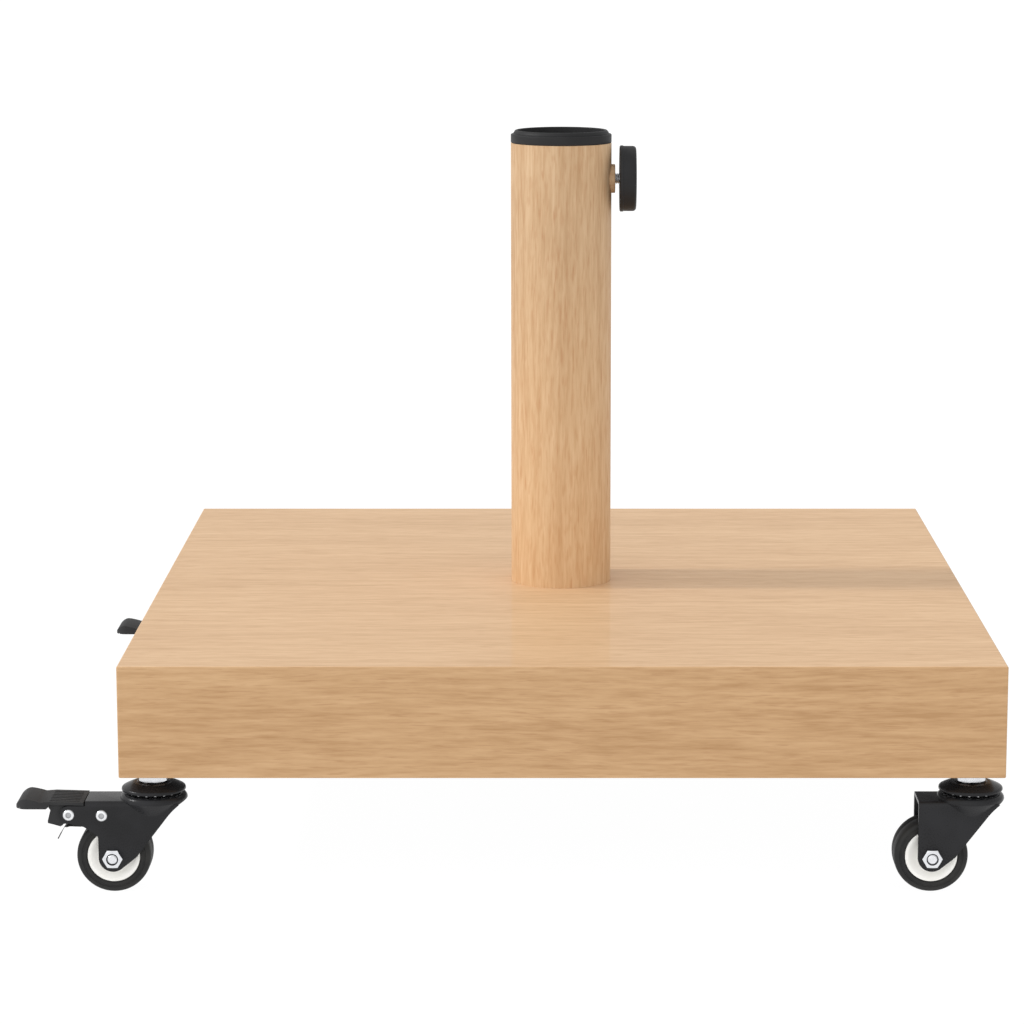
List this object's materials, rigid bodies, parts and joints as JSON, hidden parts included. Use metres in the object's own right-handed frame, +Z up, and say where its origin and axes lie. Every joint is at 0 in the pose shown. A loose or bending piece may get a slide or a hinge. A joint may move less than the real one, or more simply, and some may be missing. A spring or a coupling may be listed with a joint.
{
  "type": "rolling parasol base",
  "caption": "Square weighted wooden box on swivel casters, rear-trailing brakes on one side, with an upright tube, collar and side clamp knob that hold a parasol pole.",
  "frame": {"origin": "on the floor, under the middle of the base and the post's axis", "axes": "+Z up along the post; -Y is the front; +X is the side with the clamp knob, and all four wheels trail towards -X"},
  "size_m": [0.5048, 0.4524, 0.374],
  "materials": {
    "oak": "light oak with a satin lacquer",
    "plywood": "unfinished board inside",
    "oak_look_steel": "steel tube with a light oak film",
    "black_steel": "satin black coating",
    "black_plastic": "fine moulded grain",
    "zinc": "bright zinc plate",
    "spring_steel": "blackened spring steel",
    "ball_steel": "polished",
    "hub_plastic": "off-white moulding",
    "tyre": "smooth black tread",
    "concrete": "cast, rough"
  },
  "bodies": {
    "base": {"top_panel": "oak", "front_apron": "oak", "right_apron": "oak", "back_apron": "oak", "left_apron": "oak", "bottom_panel": "plywood", "corner_blocks": "plywood", "panel_screws": "zinc", "weight_slabs": "concrete", "post_tube": "oak_look_steel", "post_flange": "black_steel", "flange_bolts": "zinc", "flange_nuts": "zinc", "pole_collar": "black_plastic", "pole_foot_ring": "black_plastic", "clamp_boss": "oak_look_steel", "caster_inserts": "zinc", "caster_lock_nuts": "zinc", "caster_stems": "zinc", "caster_domes": "black_steel", "caster_balls": "ball_steel", "kingpin_washers": "zinc"},
    "clamp_pad": {"pressure_pad": "black_plastic"},
    "clamp_handle": {"clamp_screw": "zinc", "clamp_knob": "black_plastic"},
    "front_left_caster": {"front_left_fork": "black_steel", "front_left_axle_bolt": "zinc", "front_left_axle_nut": "zinc", "front_left_axle_sleeve": "zinc", "front_left_brake_rivets": "zinc"},
    "front_left_wheel": {"front_left_hub": "hub_plastic", "front_left_tyre": "tyre"},
    "front_left_pedal": {"front_left_brake_pedal": "black_plastic"},
    "front_left_leaf": {"front_left_brake_leaf": "spring_steel"},
    "front_right_caster": {"front_right_fork": "black_steel", "front_right_axle_bolt": "zinc", "front_right_axle_nut": "zinc", "front_right_axle_sleeve": "zinc"},
    "front_right_wheel": {"front_right_hub": "hub_plastic", "front_right_tyre": "tyre"},
    "back_left_caster": {"back_left_fork": "black_steel", "back_left_axle_bolt": "zinc", "back_left_axle_nut": "zinc", "back_left_axle_sleeve": "zinc", "back_left_brake_rivets": "zinc"},
    "back_left_wheel": {"back_left_hub": "hub_plastic", "back_left_tyre": "tyre"},
    "back_left_pedal": {"back_left_brake_pedal": "black_plastic"},
    "back_left_leaf": {"back_left_brake_leaf": "spring_steel"},
    "back_right_caster": {"back_right_fork": "black_steel", "back_right_axle_bolt": "zinc", "back_right_axle_nut": "zinc", "back_right_axle_sleeve": "zinc"},
    "back_right_wheel": {"back_right_hub": "hub_plastic", "back_right_tyre": "tyre"}
  },
  "joints": [
    {"name": "clamp_travel", "type": "slide", "parent": "base", "child": "clamp_pad", "axis": [1, 0, 0], "range_m": [-0.0024, 0.003]},
    {"name": "clamp_turn", "type": "hinge", "parent": "clamp_pad", "child": "clamp_handle", "pos_m": [0.037, 0, 0.347], "axis": [1, 0, 0], "range_deg": [-864, 1080]},
    {"name": "front_left_swivel", "type": "hinge", "parent": "base", "child": "front_left_caster", "pos_m": [-0.209, -0.209, 0.062], "axis": [0, 0, 1], "continuous": true},
    {"name": "front_left_roll", "type": "hinge", "parent": "front_left_caster", "child": "front_left_wheel", "pos_m": [-0.2293, -0.209, 0.019], "axis": [0, 1, 0], "continuous": true},
    {"name": "front_left_brake", "type": "hinge", "parent": "front_left_caster", "child": "front_left_pedal", "pos_m": [-0.2514, -0.209, 0.0417], "axis": [0, -1, 0], "range_deg": [0, 20]},
    {"name": "front_left_shoe", "type": "hinge", "parent": "front_left_caster", "child": "front_left_leaf", "pos_m": [-0.2346, -0.209, 0.0413], "axis": [0, -1, 0], "range_deg": [0, 4]},
    {"name": "front_right_swivel", "type": "hinge", "parent": "base", "child": "front_right_caster", "pos_m": [0.209, -0.209, 0.062], "axis": [0, 0, 1], "continuous": true},
    {"name": "front_right_roll", "type": "hinge", "parent": "front_right_caster", "child": "front_right_wheel", "pos_m": [0.1887, -0.209, 0.019], "axis": [0, 1, 0], "continuous": true},
    {"name": "back_left_swivel", "type": "hinge", "parent": "base", "child": "back_left_caster", "pos_m": [-0.209, 0.209, 0.062], "axis": [0, 0, 1], "continuous": true},
    {"name": "back_left_roll", "type": "hinge", "parent": "back_left_caster", "child": "back_left_wheel", "pos_m": [-0.2293, 0.209, 0.019], "axis": [0, 1, 0], "continuous": true},
    {"name": "back_left_brake", "type": "hinge", "parent": "back_left_caster", "child": "back_left_pedal", "pos_m": [-0.2514, 0.209, 0.0417], "axis": [0, -1, 0], "range_deg": [0, 20]},
    {"name": "back_left_shoe", "type": "hinge", "parent": "back_left_caster", "child": "back_left_leaf", "pos_m": [-0.2346, 0.209, 0.0413], "axis": [0, -1, 0], "range_deg": [0, 4]},
    {"name": "back_right_swivel", "type": "hinge", "parent": "base", "child": "back_right_caster", "pos_m": [0.209, 0.209, 0.062], "axis": [0, 0, 1], "continuous": true},
    {"name": "back_right_roll", "type": "hinge", "parent": "back_right_caster", "child": "back_right_wheel", "pos_m": [0.1887, 0.209, 0.019], "axis": [0, 1, 0], "continuous": true}
  ],
  "couplings": [
    {"joint": "clamp_travel", "follows": "clamp_turn", "m_per_rad": 0.00015915},
    {"joint": "front_left_shoe", "follows": "front_left_brake", "ratio": 0.2},
    {"joint": "back_left_shoe", "follows": "back_left_brake", "ratio": 0.2}
  ]
}
